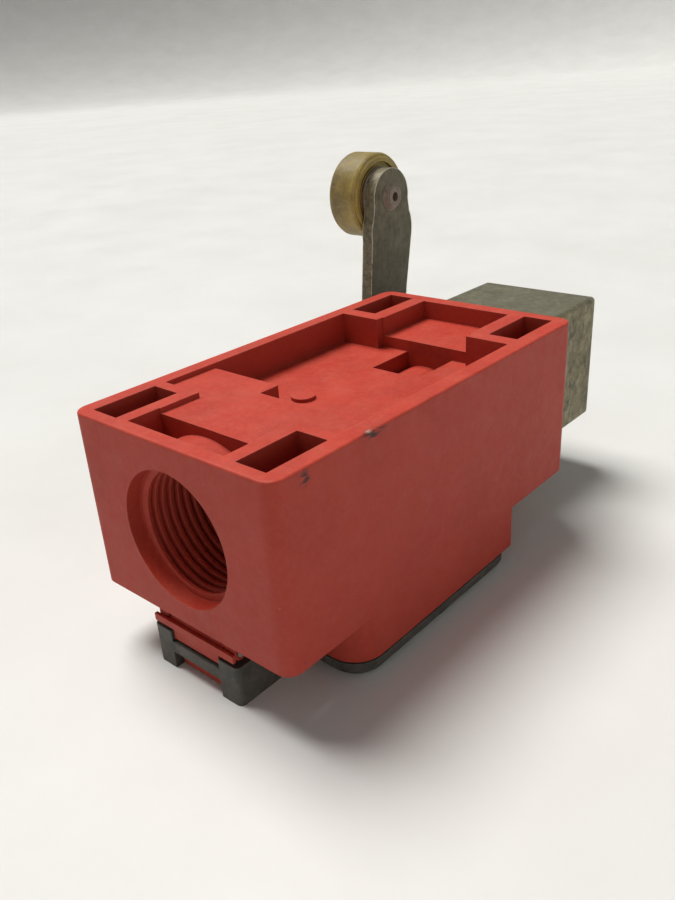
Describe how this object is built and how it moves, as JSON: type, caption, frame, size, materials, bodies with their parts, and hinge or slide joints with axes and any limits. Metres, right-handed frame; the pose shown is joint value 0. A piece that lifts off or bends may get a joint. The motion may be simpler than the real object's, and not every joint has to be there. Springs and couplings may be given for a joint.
{
  "type": "limit switch",
  "caption": "Position switch with a red moulded body, slotted fixings and a threaded conduit entry, a metal head, a turning roller lever, and a latched hinged cover over the contacts.",
  "frame": {"origin": "centre of the 60 x 30 mm fixing pattern, on the mounting face", "axes": "+Z out of the mounting face, +X from the conduit entry to the head, +Y to the side the lever is on"},
  "size_m": [0.1009, 0.0601, 0.0647],
  "materials": {
    "red_plastic": "moulded, satin",
    "black_plastic": "moulded, dirty satin",
    "insulator": "moulded, matt",
    "rubber": "matt",
    "zinc": "die-cast, dull and dirty",
    "dull_steel": "grimy pressed steel",
    "bright_steel": "turned or drawn",
    "nylon": "yellowed moulded nylon",
    "bronze": "sintered",
    "brass": "stamped"
  },
  "bodies": {
    "switch_body": {"housing": "red_plastic", "cover_hinge_pins": "bright_steel", "latch_pin": "bright_steel", "latch_spring": "bright_steel", "head_body": "zinc", "head_seal": "rubber", "head_base": "bright_steel", "head_screws": "bright_steel", "shaft_bush": "bronze", "shaft_seal": "rubber", "tappet_spring": "bright_steel", "carrier_spring": "bright_steel", "contact_base": "insulator", "contact_lid": "insulator", "contact_screws": "bright_steel", "nc_fixed_contacts": "brass", "no_fixed_contacts": "brass", "terminal_screws": "bright_steel", "terminal_clamps": "bright_steel"},
    "cover": {"cover": "black_plastic", "cover_gasket": "rubber"},
    "latch": {"cover_latch": "red_plastic"},
    "cam": {"cam": "bright_steel"},
    "lever": {"lever_shaft": "bright_steel", "retaining_ring": "bright_steel", "drive_pin": "bright_steel", "lever_arm": "dull_steel", "lever_hub": "dull_steel", "lever_washer": "bright_steel", "lever_nut": "bright_steel", "roller_rivet": "dull_steel", "roller_washer": "bright_steel"},
    "roller": {"roller": "nylon"},
    "tappet": {"tappet": "bright_steel"},
    "carrier": {"contact_carrier": "insulator", "nc_bridge": "brass", "no_bridge": "brass", "bridge_springs": "bright_steel"}
  },
  "joints": [
    {"name": "cover_hinge", "type": "hinge", "parent": "switch_body", "child": "cover", "pos_m": [0.0203, 0, -0.0362], "axis": [0, -1, 0], "range_deg": [0, 100]},
    {"name": "latch_release", "type": "hinge", "parent": "switch_body", "child": "latch", "pos_m": [-0.0354, 0, -0.0314], "axis": [0, -1, 0], "range_deg": [0, 14], "stiffness_Nm_per_rad": 0.02, "springref_deg": -22.92, "deforming": ["latch_spring"]},
    {"name": "cam_turn", "type": "hinge", "parent": "switch_body", "child": "cam", "pos_m": [0.04935, 0, -0.01585], "axis": [0, 1, 0], "range_deg": [0, 70], "stiffness_Nm_per_rad": 0.05, "springref_deg": -85.94},
    {"name": "lever_swing", "type": "hinge", "parent": "cam", "child": "lever", "pos_m": [0.04935, 0, -0.01585], "axis": [0, 1, 0], "range_deg": [-70, 0], "stiffness_Nm_per_rad": 0.05, "springref_deg": 85.94},
    {"name": "roller_spin", "type": "hinge", "parent": "lever", "child": "roller", "pos_m": [0.04935, 0.0347, 0.0164], "axis": [0, 1, 0], "continuous": true},
    {"name": "tappet_slide", "type": "slide", "parent": "switch_body", "child": "tappet", "axis": [-1, 0, 0], "range_m": [0, 0.0041], "deforming": ["tappet_spring"]},
    {"name": "carrier_slide", "type": "slide", "parent": "switch_body", "child": "carrier", "axis": [-1, 0, 0], "range_m": [0, 0.0041], "deforming": ["carrier_spring"]}
  ],
  "couplings": [
    {"joint": "tappet_slide", "follows": "cam_turn", "m_per_rad": 0.003274},
    {"joint": "carrier_slide", "follows": "cam_turn", "m_per_rad": 0.003274}
  ]
}
